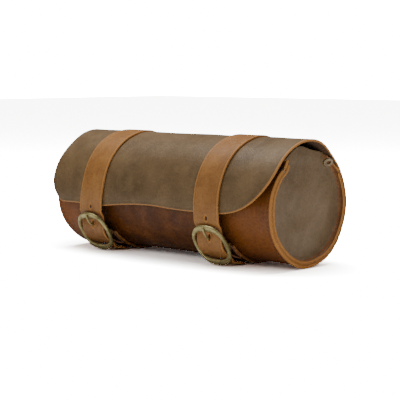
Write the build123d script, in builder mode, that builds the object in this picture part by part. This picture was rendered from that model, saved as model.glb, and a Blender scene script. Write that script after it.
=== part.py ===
"""Barrel-shaped leather roll case with a wrap-over flap and two buckled straps.

Frame: +X along the case, -Y to the front (the flap and buckle side), +Z up.
The origin lies on the resting surface, at the middle of the case's footprint.
Angles run round the barrel's axis in degrees: 0 is the top and they grow
towards the front, so 90 is the front, 180 the underside and -30 the flap's fold.
"""
import os
from math import atan2, cos, degrees, radians, sin

from build123d import *

# Driving dimensions, in millimetres and degrees
CASE_LENGTH = 300.0
RIM_RADIUS = 60.0
WRAP_RADIUS = 57.8
HIDE = 3.0
STRAP_WIDTH = 32.0
STRAP_THICKNESS = 3.0
REST_FLAT = 0.4
GAP = 0.3

# Barrel
WRAP_FRONT = 35.0
WRAP_BACK = 329.5
RIM_FLARE_START = 138.0
DISC_FACE = 142.0
DISC_THICKNESS = 2.8
DISC_RADIUS = 54.9
FLANGE_THICKNESS = 2.9
LOWER_STRAP_INNER = WRAP_RADIUS + 0.1
LOWER_STRAP_OUTER = LOWER_STRAP_INNER + STRAP_THICKNESS
LOWER_STRAP_TOP = 132.0
LOWER_STRAP_END = 324.0
AXIS_HEIGHT = LOWER_STRAP_OUTER - REST_FLAT
AXIS_SETBACK = 6.0

# Flap
FLAP_HALF_LENGTH = 153.0
FOLD_ANGLE = -30.0
FOLD_RADIUS = 57.2
FLAP_RADIUS = 63.0
FLAP_EDGE_DROP = 9.0
FLAP_LIP_ANGLE = 98.5
FLAP_LEFT_CORNER = 17.0
FLAP_RIGHT_CORNER = (65.0, 46.0)

# Straps
STRAP_HINGE_ANGLE = -12.0
ANCHOR_BACK = -27.5
TAIL_ANGLE = 156.0
STRAP_TOP_X = {"left": -85.5, "right": 76.0}
BUCKLE_X = {"left": -91.0, "right": 76.0}
LEAN_TOP = 42.0
LEAN_BOTTOM = -15.0
HOLE_PITCH = 23.5
HOLE_LENGTH = 4.6
HOLE_WIDTH = 2.6

# Buckles: the frame's plane faces the direction BUCKLE_ANGLE
BUCKLE_ANGLE = 119.0
BUCKLE_Y = -58.4
BUCKLE_RISE = -38.6
FRAME_WIDTH = 45.0
FRAME_LENGTH = 47.0
FRAME_THICKNESS = 3.4
WINDOW = 35.0
BAR_DEPTH = -3.6
BAR_RADIUS = 1.3
EAR_RADIUS = 2.7
PRONG_HOLE = -4.5
PRONG_SLOT = (10.0, 3.2)
PRONG_RADIUS = 1.2

# Rivets
RIM_RIVET_ANGLES = (46.0, -40.0)
RIM_RIVET_X = 145.5
RIM_RIVET = {"tube": 2.5, "bore": 1.5, "head": 4.5, "head_height": 1.0}
RIVET_SPREAD = 8.0
RIVET_SHANK = 1.5
RIVET_HEAD = 3.6
RIVET_HEAD_HEIGHT = 1.1
LOWER_RIVET_ANGLE = -44.0
ANCHOR_RIVET_ANGLE = -20.0

RIM_X = CASE_LENGTH / 2
RIM_RISE = RIM_RADIUS - WRAP_RADIUS
RIM_SLOPE = RIM_RISE / (RIM_X - RIM_FLARE_START)


def polar(radius, angle):
    """A point of the side view, (y, height above the barrel's axis)."""
    return (-radius * sin(radians(angle)), radius * cos(radians(angle)))


def buckle_point(along, out):
    """A side-view point: along the strap from the buckle's bar, and out of the frame's plane."""
    turn = radians(BUCKLE_ANGLE)
    y = BUCKLE_Y - along * cos(turn) - out * sin(turn)
    rise = BUCKLE_RISE - along * sin(turn) + out * cos(turn)
    return (y, rise)


def rim_inner(x):
    """The wrap's inner radius in the flared rim, less a hair of room for the disc's flange."""
    return WRAP_RADIUS - HIDE + RIM_SLOPE * (x - RIM_FLARE_START) - 0.05


def side_plane(x):
    """The side view at x, seen with +Y across and +Z up."""
    return Plane(origin=(x, AXIS_SETBACK, AXIS_HEIGHT), x_dir=(0, 1, 0), z_dir=(1, 0, 0))


def radial_plane(x, angle, radius):
    """A plane across the barrel's radius, with its normal pointing out."""
    y, rise = polar(radius, angle)
    outward = (0, -sin(radians(angle)), cos(radians(angle)))
    origin = (x, AXIS_SETBACK + y, AXIS_HEIGHT + rise)
    return Plane(origin=origin, x_dir=(1, 0, 0), z_dir=outward)


def profile_plane(angle):
    """The plane through the barrel's axis at an angle, with its y axis along the radius."""
    inward = (0, -cos(radians(angle)), -sin(radians(angle)))
    return Plane(origin=(0, AXIS_SETBACK, AXIS_HEIGHT), x_dir=(1, 0, 0), z_dir=inward)


def buckle_plane(x):
    """The buckle frame's middle plane: y runs up the strap, z out of the frame."""
    outward = (0, -sin(radians(BUCKLE_ANGLE)), cos(radians(BUCKLE_ANGLE)))
    origin = (x, AXIS_SETBACK + BUCKLE_Y, AXIS_HEIGHT + BUCKLE_RISE)
    return Plane(origin=origin, x_dir=(1, 0, 0), z_dir=outward)


def flap_inner(angle):
    """The flap's inner radius, which rises from the fold to the top of the case."""
    step = min(max((angle - FOLD_ANGLE) / -FOLD_ANGLE, 0.0), 1.0)
    return FOLD_RADIUS + (FLAP_RADIUS - FOLD_RADIUS) * step * step * (3 - 2 * step)


def flap_outer(angle):
    return flap_inner(angle) + HIDE


def flap_plane(x, angle):
    """A plane on the strap end that lies on the flap, square to the flap's slope."""
    rise = flap_outer(angle + 0.5) - flap_outer(angle - 0.5)
    slope = degrees(atan2(rise, radians(1.0) * flap_outer(angle)))
    return radial_plane(x, angle, flap_outer(angle) + STRAP_THICKNESS).rotated((-slope, 0, 0))


def arc_points(radius_at, first, last, count):
    """Side-view points along a radius that depends on the angle."""
    step = (last - first) / (count - 1)
    angles = [first + step * i for i in range(count)]
    return [polar(radius_at(angle), angle) for angle in angles]


def offset_points(points, distance):
    """Points moved square to their line, inwards for a negative distance."""
    moved = []
    for i, (y, z) in enumerate(points):
        before = points[max(i - 1, 0)]
        after = points[min(i + 1, len(points) - 1)]
        heading = atan2(after[1] - before[1], after[0] - before[0])
        moved.append((y + distance * sin(heading), z - distance * cos(heading)))
    return moved


def lean_outline(points):
    """Corners of a strap-wide strip whose middle passes through the points."""
    half = STRAP_WIDTH / 2
    left = [(x - half, v) for x, v in points]
    right = [(x + half, v) for x, v in reversed(points)]
    return left + right


def rim_rivet_plane(x, angle):
    """A plane on the flared rim's outside, square to the leather."""
    radius = WRAP_RADIUS + RIM_SLOPE * (abs(x) - RIM_FLARE_START)
    plane = radial_plane(x, angle, radius)
    lean = degrees(atan2(RIM_SLOPE, 1.0))
    return plane.rotated((0, -lean if x > 0 else lean, 0))


revolve_axis = Axis((0, AXIS_SETBACK, AXIS_HEIGHT), (1, 0, 0))
rim_rivet_planes = [
    rim_rivet_plane(x, angle) for x in (-RIM_RIVET_X, RIM_RIVET_X) for angle in RIM_RIVET_ANGLES
]
strap_tops = [STRAP_TOP_X[side] + dx for side in STRAP_TOP_X for dx in (-RIVET_SPREAD, RIVET_SPREAD)]
lower_rivet_planes = [radial_plane(x, LOWER_RIVET_ANGLE, LOWER_STRAP_OUTER) for x in strap_tops]
anchor_rivet_planes = [flap_plane(x, ANCHOR_RIVET_ANGLE) for x in strap_tops]

os.makedirs("parts", exist_ok=True)


def write(node, label):
    node.part.label = label
    export_step(node.part, f"parts/{label}.step")


# The barrel's wrap: one hide from the front of the mouth, under the case and up the back
with BuildPart() as body_wrap:
    with BuildSketch(profile_plane(WRAP_FRONT)):
        with BuildLine():
            Polyline(
                (0, WRAP_RADIUS - HIDE),
                (0, WRAP_RADIUS),
                (RIM_FLARE_START, WRAP_RADIUS),
                (RIM_X, RIM_RADIUS),
                (RIM_X, RIM_RADIUS - HIDE),
                (RIM_FLARE_START, WRAP_RADIUS - HIDE),
                close=True,
            )
        make_face()
    revolve(axis=revolve_axis, revolution_arc=WRAP_BACK - WRAP_FRONT)
    mirror(about=Plane.YZ)
    with Locations(*rim_rivet_planes):
        Cylinder(RIM_RIVET["tube"], 8, mode=Mode.SUBTRACT)
    with Locations(*lower_rivet_planes):
        Cylinder(RIVET_SHANK, 14, mode=Mode.SUBTRACT)
write(body_wrap, "body_wrap")

# The end discs: a flat plate set back in each end, with a flange sewn to the wrap's rim
for side, direction in (("left", -1), ("right", 1)):
    with BuildPart() as end_disc:
        with BuildSketch(side_plane(direction * DISC_FACE)):
            Circle(DISC_RADIUS)
        extrude(amount=-direction * DISC_THICKNESS)
        back = DISC_FACE - DISC_THICKNESS
        with BuildSketch(profile_plane(WRAP_FRONT - 1)):
            with BuildLine():
                Polyline(
                    (direction * back, rim_inner(back) - FLANGE_THICKNESS),
                    (direction * back, rim_inner(back)),
                    (direction * RIM_X, rim_inner(RIM_X)),
                    (direction * RIM_X, rim_inner(RIM_X) - FLANGE_THICKNESS),
                    (direction * DISC_FACE, rim_inner(DISC_FACE) - FLANGE_THICKNESS),
                    close=True,
                )
            make_face()
        revolve(axis=revolve_axis, revolution_arc=WRAP_BACK - WRAP_FRONT + 2)
        with Locations(*rim_rivet_planes):
            Cylinder(RIM_RIVET["tube"], 24, mode=Mode.SUBTRACT)
    write(end_disc, f"end_disc_{side}")

# Tubular rivets that close the four ends of the rim seams
with BuildPart() as seam_rivets:
    stack = 2 * HIDE + 0.1
    height = RIM_RIVET["head_height"]
    with Locations(*rim_rivet_planes):
        with Locations((0, 0, -stack / 2)):
            Cylinder(RIM_RIVET["tube"] - 0.05, stack + 2 * height)
        with Locations((0, 0, GAP + height / 2), (0, 0, -stack - GAP - height / 2)):
            Cylinder(RIM_RIVET["head"], height)
        Cylinder(RIM_RIVET["bore"], 30, mode=Mode.SUBTRACT)
write(seam_rivets, "seam_rivets")

# The lower straps: from the back, under the case and up behind the buckles
for side in BUCKLE_X:
    back_x = STRAP_TOP_X[side]
    front_x = BUCKLE_X[side]
    with BuildPart() as lower_strap:
        with BuildSketch(side_plane(0)):
            with BuildLine():
                start = polar(LOWER_STRAP_INNER, LOWER_STRAP_TOP)
                middle = polar(LOWER_STRAP_INNER, (LOWER_STRAP_TOP + LOWER_STRAP_END) / 2)
                end = polar(LOWER_STRAP_INNER, LOWER_STRAP_END)
                outer_end = polar(LOWER_STRAP_OUTER, LOWER_STRAP_END)
                outer_middle = polar(LOWER_STRAP_OUTER, (LOWER_STRAP_TOP + LOWER_STRAP_END) / 2)
                outer_start = polar(LOWER_STRAP_OUTER, LOWER_STRAP_TOP)
                ThreePointArc(start, middle, end)
                Line(end, outer_end)
                ThreePointArc(outer_end, outer_middle, outer_start)
                Line(outer_start, start)
            make_face()
        extrude(amount=CASE_LENGTH / 2, both=True)
        lean = [(front_x, -80), (front_x, -45), (back_x, 45), (back_x, 80)]
        with BuildSketch(Plane.XY):
            with BuildLine():
                Polyline(*lean_outline(lean), close=True)
            make_face()
        extrude(amount=2 * RIM_RADIUS + HIDE, mode=Mode.INTERSECT)
        with Locations(*lower_rivet_planes):
            Cylinder(RIVET_SHANK, 14, mode=Mode.SUBTRACT)
    write(lower_strap, f"lower_strap_{side}")

# Rivets that hold the lower straps to the wrap, two to a strap
with BuildPart() as lower_strap_rivets:
    stack = LOWER_STRAP_OUTER - WRAP_RADIUS + HIDE
    with Locations(*lower_rivet_planes):
        with Locations((0, 0, -stack / 2)):
            Cylinder(RIVET_SHANK - 0.05, stack + RIVET_HEAD_HEIGHT)
        with Locations((0, 0, RIVET_HEAD_HEIGHT / 2 + 0.02)):
            Cylinder(RIVET_HEAD, RIVET_HEAD_HEIGHT)
        with Locations((0, 0, -stack - RIVET_HEAD_HEIGHT / 2 - 0.15)):
            Cylinder(RIVET_HEAD, RIVET_HEAD_HEIGHT)
write(lower_strap_rivets, "lower_strap_rivets")

# The flap, which folds at the back and hangs down the front: its right corner is a long curve
with BuildPart() as flap_panel:
    with BuildSketch(side_plane(0)):
        with BuildLine():
            inner = arc_points(flap_inner, FOLD_ANGLE, FLAP_LIP_ANGLE, 13)
            outer = arc_points(flap_outer, FOLD_ANGLE, FLAP_LIP_ANGLE, 13)
            Spline(*inner)
            Line(inner[-1], outer[-1])
            Spline(*reversed(outer))
            Line(outer[0], inner[0])
        make_face()
    extrude(amount=FLAP_HALF_LENGTH, both=True)
    with BuildSketch(Plane.XZ.offset(-100)) as front_outline:
        top = AXIS_HEIGHT + 100
        bottom = AXIS_HEIGHT - FLAP_EDGE_DROP
        with Locations((0, (top + bottom) / 2)):
            Rectangle(2 * FLAP_HALF_LENGTH, top - bottom)
        fillet(front_outline.vertices().group_by(Axis.Z)[0].sort_by(Axis.X)[0], FLAP_LEFT_CORNER)
        corner_width, corner_height = FLAP_RIGHT_CORNER
        with Locations((FLAP_HALF_LENGTH - corner_width / 2, bottom + corner_height / 2)):
            Rectangle(corner_width, corner_height, mode=Mode.SUBTRACT)
        with Locations((FLAP_HALF_LENGTH - corner_width, bottom + corner_height)):
            Ellipse(corner_width, corner_height)
    extrude(amount=200, mode=Mode.INTERSECT)
    with Locations(*anchor_rivet_planes):
        Cylinder(RIVET_SHANK, 18, mode=Mode.SUBTRACT)
write(flap_panel, "flap_panel")

# The back ends of the upper straps, riveted flat on the flap
for side, x in STRAP_TOP_X.items():
    with BuildPart() as strap_anchor:
        with BuildSketch(side_plane(x)):
            with BuildLine():
                last = STRAP_HINGE_ANGLE - 0.5
                inner = arc_points(lambda a: flap_outer(a) + 0.05, ANCHOR_BACK, last, 5)
                outer = arc_points(lambda a: flap_outer(a) + STRAP_THICKNESS, ANCHOR_BACK, last, 5)
                Spline(*inner)
                Line(inner[-1], outer[-1])
                Spline(*reversed(outer))
                Line(outer[0], inner[0])
            make_face()
        extrude(amount=STRAP_WIDTH / 2, both=True)
        with Locations(*anchor_rivet_planes):
            Cylinder(RIVET_SHANK, 18, mode=Mode.SUBTRACT)
    write(strap_anchor, f"strap_anchor_{side}")

# Rivets through the strap ends and the flap, two to a strap
with BuildPart() as strap_anchor_rivets:
    stack = HIDE + STRAP_THICKNESS
    with Locations(*anchor_rivet_planes):
        with Locations((0, 0, -stack / 2)):
            Cylinder(RIVET_SHANK - 0.05, stack + RIVET_HEAD_HEIGHT)
        with Locations((0, 0, RIVET_HEAD_HEIGHT / 2 + GAP), (0, 0, -stack - RIVET_HEAD_HEIGHT / 2 - GAP)):
            Cylinder(RIVET_HEAD, RIVET_HEAD_HEIGHT)
write(strap_anchor_rivets, "strap_anchor_rivets")

# The free length of each upper strap, over the flap and through its buckle
strap_over_flap = arc_points(
    lambda a: flap_outer(a) + GAP + STRAP_THICKNESS, STRAP_HINGE_ANGLE + 0.2, 98.0, 11
)
strap_in_buckle = [
    buckle_point(-23.5, -2.9),
    buckle_point(-17.5, -2.7),
    buckle_point(-12.0, -0.9),
    buckle_point(-6.0, 1.6),
    buckle_point(0.0, 2.9),
    buckle_point(6.0, 2.1),
    buckle_point(12.0, -0.6),
    buckle_point(17.5, -3.2),
    buckle_point(23.5, -4.6),
]
strap_tail = [polar(68.2, 147.0), polar(65.4, TAIL_ANGLE)]
strap_outer = strap_over_flap + strap_in_buckle + strap_tail
strap_inner = offset_points(strap_outer, -STRAP_THICKNESS)
for side, x in BUCKLE_X.items():
    with BuildPart() as strap:
        with BuildSketch(side_plane(0)):
            with BuildLine():
                Spline(*strap_outer)
                Line(strap_outer[-1], strap_inner[-1])
                Spline(*reversed(strap_inner))
                Line(strap_inner[0], strap_outer[0])
            make_face()
        extrude(amount=CASE_LENGTH / 2, both=True)
        lean = [
            (STRAP_TOP_X[side], AXIS_HEIGHT + 80),
            (STRAP_TOP_X[side], AXIS_HEIGHT + LEAN_TOP),
            (x, AXIS_HEIGHT + LEAN_BOTTOM),
            (x, -5),
        ]
        with BuildSketch(Plane.XZ.offset(-100)):
            with BuildLine():
                Polyline(*lean_outline(lean), close=True)
            make_face()
        extrude(amount=200, mode=Mode.INTERSECT)
        with BuildSketch(buckle_plane(x)):
            with Locations((0, HOLE_PITCH - PRONG_HOLE), (0, -HOLE_PITCH - PRONG_HOLE)):
                SlotOverall(HOLE_LENGTH, HOLE_WIDTH, rotation=90)
            with Locations((0, -PRONG_HOLE)):
                SlotOverall(*PRONG_SLOT, rotation=90)
        extrude(amount=12, both=True, mode=Mode.SUBTRACT)
    write(strap, f"strap_{side}")

# The leather loop that holds each buckle's bar, slotted for the prong
for side, x in BUCKLE_X.items():
    with BuildPart() as buckle_loop:
        bar = buckle_point(0, BAR_DEPTH)
        tab = [buckle_point(16, -7.8), buckle_point(19.5, -8.4), buckle_point(19.5, -12.4)]
        with BuildSketch(side_plane(x)):
            with Locations(bar):
                Circle(3.3)
            with BuildLine():
                Polyline(*tab, close=True)
            make_face()
            make_hull()
        extrude(amount=STRAP_WIDTH / 2, both=True)
        with BuildSketch(side_plane(x)):
            with Locations(bar):
                Circle(BAR_RADIUS + GAP)
            with Locations(buckle_point(11.5, -8.0)):
                Circle(0.3)
            make_hull()
        extrude(amount=STRAP_WIDTH / 2, both=True, mode=Mode.SUBTRACT)
        with BuildSketch(buckle_plane(x)):
            with Locations((0, 1)):
                Rectangle(5.4, 10)
        extrude(amount=12, both=True, mode=Mode.SUBTRACT)
    write(buckle_loop, f"buckle_loop_{side}")

# The cast buckle frames: broad bars above and below, thin sides, and ears for the bar
for side, x in BUCKLE_X.items():
    plane = buckle_plane(x)
    with BuildPart() as buckle_frame:
        with BuildSketch(plane):
            RectangleRounded(FRAME_WIDTH, FRAME_LENGTH, 14)
            RectangleRounded(WINDOW, WINDOW, 5, mode=Mode.SUBTRACT)
        extrude(amount=FRAME_THICKNESS / 2, both=True)
        faces_out = buckle_frame.edges().group_by(Axis(plane.origin, plane.z_dir))
        fillet(faces_out[0] + faces_out[-1], 0.9)
        ear_x = (WINDOW + FRAME_WIDTH) / 4
        ear_width = (FRAME_WIDTH - WINDOW) / 2
        for ear in (-ear_x, ear_x):
            with BuildSketch(side_plane(x + ear)):
                with Locations(buckle_point(0, BAR_DEPTH)):
                    Circle(EAR_RADIUS)
                with Locations(buckle_point(0, -0.6)):
                    Circle(EAR_RADIUS - 0.8)
                make_hull()
            extrude(amount=ear_width / 2, both=True)
        with BuildSketch(side_plane(x)):
            with Locations(buckle_point(0, BAR_DEPTH)):
                Circle(BAR_RADIUS)
        extrude(amount=FRAME_WIDTH, both=True, mode=Mode.SUBTRACT)
    write(buckle_frame, f"buckle_frame_{side}")

# The round bar across each frame
for side, x in BUCKLE_X.items():
    with BuildPart() as buckle_bar:
        with BuildSketch(side_plane(x)):
            with Locations(buckle_point(0, BAR_DEPTH)):
                Circle(BAR_RADIUS)
        extrude(amount=FRAME_WIDTH / 2, both=True)
    write(buckle_bar, f"buckle_bar_{side}")

# The prongs: a ring round the bar and a tongue up through the strap onto the frame
for side, x in BUCKLE_X.items():
    with BuildPart() as prong:
        with BuildLine() as tongue:
            root, knee, tip = [
                side_plane(x).from_local_coords(buckle_point(*place))
                for place in ((-1.0, -2.0), (-8.0, 2.9), (-21.5, 3.3))
            ]
            FilletPolyline(root, knee, tip, radius=4)
        with BuildSketch(Plane(origin=root, z_dir=knee - root)):
            Circle(PRONG_RADIUS)
        sweep()
        with BuildSketch(side_plane(x)):
            with Locations(buckle_point(0, BAR_DEPTH)):
                Circle(2.9)
        extrude(amount=2.2, both=True)
        with BuildSketch(side_plane(x)):
            with Locations(buckle_point(0, BAR_DEPTH)):
                Circle(BAR_RADIUS + 0.15)
        extrude(amount=4, both=True, mode=Mode.SUBTRACT)
    write(prong, f"prong_{side}")
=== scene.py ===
"""Leather roll case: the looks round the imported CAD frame.

Shapes are worked out in millimetres round the barrel's axis and written in metres, in the CAD's frame:
+X along the case, -Y to the front, +Z up. Angles run round the axis in degrees: 0 is the top, 90 the
front, 180 the underside, and negative angles go down the back.
"""

import math

import bmesh
import bpy
import numpy as np
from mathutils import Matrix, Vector, noise


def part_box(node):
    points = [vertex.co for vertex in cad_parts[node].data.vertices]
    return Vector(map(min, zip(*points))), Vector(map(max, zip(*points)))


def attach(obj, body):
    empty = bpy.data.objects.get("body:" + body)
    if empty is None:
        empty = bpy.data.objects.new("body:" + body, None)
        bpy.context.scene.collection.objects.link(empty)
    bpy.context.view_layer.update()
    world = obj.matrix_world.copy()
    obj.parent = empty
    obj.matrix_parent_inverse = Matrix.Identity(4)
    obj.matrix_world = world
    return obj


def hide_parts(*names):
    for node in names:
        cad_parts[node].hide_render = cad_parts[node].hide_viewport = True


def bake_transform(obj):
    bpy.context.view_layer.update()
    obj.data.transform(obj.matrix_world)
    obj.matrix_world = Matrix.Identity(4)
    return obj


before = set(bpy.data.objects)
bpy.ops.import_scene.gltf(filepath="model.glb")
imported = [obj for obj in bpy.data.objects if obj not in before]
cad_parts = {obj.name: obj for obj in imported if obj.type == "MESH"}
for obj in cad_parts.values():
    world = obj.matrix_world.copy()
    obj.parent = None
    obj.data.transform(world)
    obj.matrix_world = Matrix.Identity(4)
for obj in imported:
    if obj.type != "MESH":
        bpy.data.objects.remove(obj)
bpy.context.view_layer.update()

MM = 0.001
WELD = 0.002 * MM


def box_mm(node):
    low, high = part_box(node)
    return np.array(low) / MM, np.array(high) / MM


wrap_low, wrap_high = box_mm("body_wrap")
_, flap_high = box_mm("flap_panel")
disc_low, _ = box_mm("end_disc_right")

# The barrel: its axis, radii to the outer face, and thicknesses. HIDE is the CAD's thickness.
RIM_RADIUS = 60.0
AXIS_Y = (wrap_low[1] + wrap_high[1]) / 2
AXIS_Z = wrap_low[2] + RIM_RADIUS
RIM_X = wrap_high[0]
WRAP_RADIUS = 57.8
HIDE = 3.0
WRAP_THICKNESS = 2.7
FLARE = 13.0

# The mouth's front edge, and how many degrees it is set back between the pointed tips at the rims
MOUTH_FRONT = 35.5
MOUTH_SET_BACK = 5.5

# On the back: where wrap and flap are split, where the hide bends when the flap opens, and how it
# rises to the flap's radius
SPLIT = -37.0
FOLD_START = -31.0
FOLD_END = -18.0
RISE_START = -48.0
RISE_LENGTH = 50.0

# Where the rims are pulled in below the mouth's front, as (depth, angle, spread), and their slight waves
PINCHES = ((2.4, 44.0, 7.0), (2.9, 56.0, 20.0))
RIPPLE = 0.35
RIPPLES_ROUND = 7
RIPPLE_END = 309.0

# The flap, with the x and angle at which each corner of its lower edge starts and ends
FLAP_X = flap_high[0] - 0.3
FLAP_RADIUS = 66.0
FLAP_THICKNESS = 2.4
LIP_ANGLE = 98.4
CORNERS = {
    "left": {"x": 136.0, "angle": 76.0, "power": 1.6},
    "right": {"x": 88.0, "angle": 50.0, "power": 2.0},
}

# The end discs: a plate whose rim turns out into a flange, which ends at SEAM_BACK on the back and
# reaches FLANGE_PAST further than the straight way to the rim's end
PLATE_X = disc_low[0] + 4.6
PLATE = 2.0
PLATE_FLAT_RADIUS = 49.0
FLANGE = 2.3
FLANGE_BEND = 80.0
FLANGE_BEND_AT_END = 45.0
FLANGE_PAST = 1.9
BEND_RADIUS = 3.2
SEAM_BACK = -30.5
DISC_STEPS = 230

# The straps: where the middle of each is along the case, over the top and at its buckle, and the
# angles over which it leans from one to the other
STRAP = {"left": {"top": -85.5, "buckle": -91.0}, "right": {"top": 76.0, "buckle": 76.0}}
LEAN_START = 74.0
LEAN_LENGTH = 42.0
STRAP_WIDTH = 32.0
STRAP_THICKNESS = 2.2
LOWER_OUTER = 60.9

# How far a strap stands out of the flap where it is pressed in at the top, what it gains further
# down, and how far it would stand out if the flap didn't give
PRESSED_IN = 1.3
PRESSED_LESS = 1.1
NOT_PRESSED = 2.5

# The angles at which a belt is divided between its strap, the fold and the back
STRAP_BREAK = -17.5
BACK_BREAK = -38.0

# The buckles' frames face BUCKLE_ANGLE. Their middle is BUCKLE_Y and BUCKLE_RISE from the axis, and
# the bar's depth is measured from it: along the strap, and out of the frame.
BUCKLE_ANGLE = 119.0
BUCKLE_Y = -58.4
BUCKLE_RISE = -38.6
BAR_DEPTH = -3.6
BAR = (0.0, BAR_DEPTH)
BAR_RADIUS = 1.3
FRAME_HALF = (22.5, 23.5)
WINDOW_HALF = (18.6, 16.6)

# The strap's holes, placed along the strap from the bar, with their lengths and widths
SPARE_HOLES = (19.0, -28.0)
SPARE_HOLE_SIZE = (4.6, 3.0)
PRONG_HOLE = -9.0
PRONG_HOLE_SIZE = (6.8, 3.4)
WRINKLE_ANGLES = (20.5, 27.0)

# Rivets, eyelets and stitches
RIM_RIVET = {"x": 145.5, "angle": 46.0}
BACK_EYELET = {"x": 147.4, "angle": -38.5, "radius": 52.6}
ANCHOR_RIVET_ANGLE = -20.0
ANCHOR_RIVET_LEAN = -9.0
BACK_RIVET_ANGLE = -44.0
RIVET_OFFSET = 8.0
STRAP_RIVET_DEPTH = 2 * HIDE + 0.5
STITCH_PITCH = 4.4
STITCH_INSET = 3.8
STITCH_RADIUS = 0.42


# ---------------------------------------------------------------- geometry helpers


def polar(x, radius, angle):
    """Points at a place along the case, a radius and an angle, in millimetres."""
    turn = np.radians(angle)
    x, radius, turn = np.broadcast_arrays(x, radius, turn)
    return np.stack([x, AXIS_Y - radius * np.sin(turn), AXIS_Z + radius * np.cos(turn)], axis=-1)


def smooth(t):
    t = np.clip(t, 0.0, 1.0)
    return t * t * (3 - 2 * t)


def rise(value, start, length):
    """0 up to the start, then smoothly up to 1 over the length."""
    return smooth((value - start) / length)


def fall(value, end, length):
    """1 up to a length before the end, then smoothly down to 0 at the end."""
    return smooth((end - value) / length)


def hump(value, centre, spread):
    """1 at the centre, dying away on both sides of it."""
    return np.exp(-(((value - centre) / spread) ** 2))


def arch(value, half):
    """1 where the value is 0, and 0 from half on, on both sides."""
    return np.cos(np.clip(value / half, -1, 1) * math.pi / 2) ** 2


def signed(angle):
    """Angles from -180 to 180 degrees from ones that run past 180."""
    return angle - 360 * (angle > 180)


def roughness_field(points, size, seed):
    """Smooth noise between about -1 and 1 at each point, with features of the given size in mm."""
    flat = points.reshape(-1, 3) / size
    values = [noise.noise(Vector(p) + Vector((seed, seed * 1.7, -seed))) for p in flat.tolist()]
    return np.array(values).reshape(points.shape[:-1])


def dents(points, *layers):
    """Dents and swellings in mm: a sum of layers, each a (feature size, seed, depth)."""
    return sum(roughness_field(points, size, seed) * depth for size, seed, depth in layers)


def unit(vectors):
    return vectors / np.maximum(np.linalg.norm(vectors, axis=-1, keepdims=True), 1e-12)


def grid_normals(points, towards):
    """Unit normals of a grid of points, on the side that the reference vectors point to."""
    across = np.gradient(points, axis=0)
    along = np.gradient(points, axis=1)
    normals = unit(np.cross(across, along))
    side = np.sign((normals * towards).sum(-1, keepdims=True))
    return normals * np.where(side == 0, 1.0, side)


def graded(length, step, ends=(True, True)):
    """Places from 0 to length, close together at the ends that are raw edges."""
    fine = [0.0, 0.2, 0.45, 0.8, 1.3, 1.9, 2.4, 2.9, 3.6, 4.6, 6.0, 8.0]
    first = fine if ends[0] else [0.0]
    last = fine if ends[1] else [0.0]
    start, stop = first[-1], length - last[-1]
    count = max(2, int(round((stop - start) / step)))
    middle = np.linspace(start, stop, count + 1)[1:-1]
    return np.concatenate([first, middle, length - np.array(last[::-1])])


def outline_distance(flat, outline):
    """How far each point of the flat pattern is from the outline, a polyline."""
    points = flat.reshape(-1, 2)
    nearest = np.full(len(points), 1e9)
    for a, b in zip(outline[:-1], outline[1:]):
        run = b - a
        t = np.clip(((points - a) @ run) / max(run @ run, 1e-9), 0, 1)
        gap = np.linalg.norm(points - (a + t[:, None] * run), axis=1)
        nearest = np.minimum(nearest, gap)
    return nearest.reshape(flat.shape[:-1])


def mesh_object(name, vertices, faces, materials, face_slots=None, looks=None):
    """A smooth-shaded mesh object from millimetre points, with the looks as attributes of its points."""
    mesh = bpy.data.meshes.new(name)
    mesh.from_pydata((np.asarray(vertices) * MM).tolist(), [], faces)
    for material in materials:
        mesh.materials.append(material)
    if face_slots is not None:
        mesh.polygons.foreach_set("material_index", np.asarray(face_slots, dtype=np.int32))
    for key, values in (looks or {}).items():
        attribute = mesh.attributes.new(key, "FLOAT", "POINT")
        attribute.data.foreach_set("value", np.asarray(values, dtype=np.float32))
    welded = bmesh.new()
    welded.from_mesh(mesh)
    bmesh.ops.remove_doubles(welded, verts=welded.verts, dist=WELD)
    welded.to_mesh(mesh)
    welded.free()
    mesh.shade_smooth()
    mesh.update()
    piece = bpy.data.objects.new(name, mesh)
    bpy.context.scene.collection.objects.link(piece)
    return piece


def joined(parts):
    """One list of vertices and one of faces from several (vertices, faces) pairs."""
    vertices, faces, start = [], [], 0
    for points, polygons in parts:
        vertices.append(points)
        faces.extend([tuple(int(i) + start for i in polygon) for polygon in polygons])
        start += len(points)
    return np.concatenate(vertices), faces


# The width of a creased line, and the edge distance below which a point lies on a raw edge
GROOVE_WIDTH = 0.4
RAW_EDGE = 0.05


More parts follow.
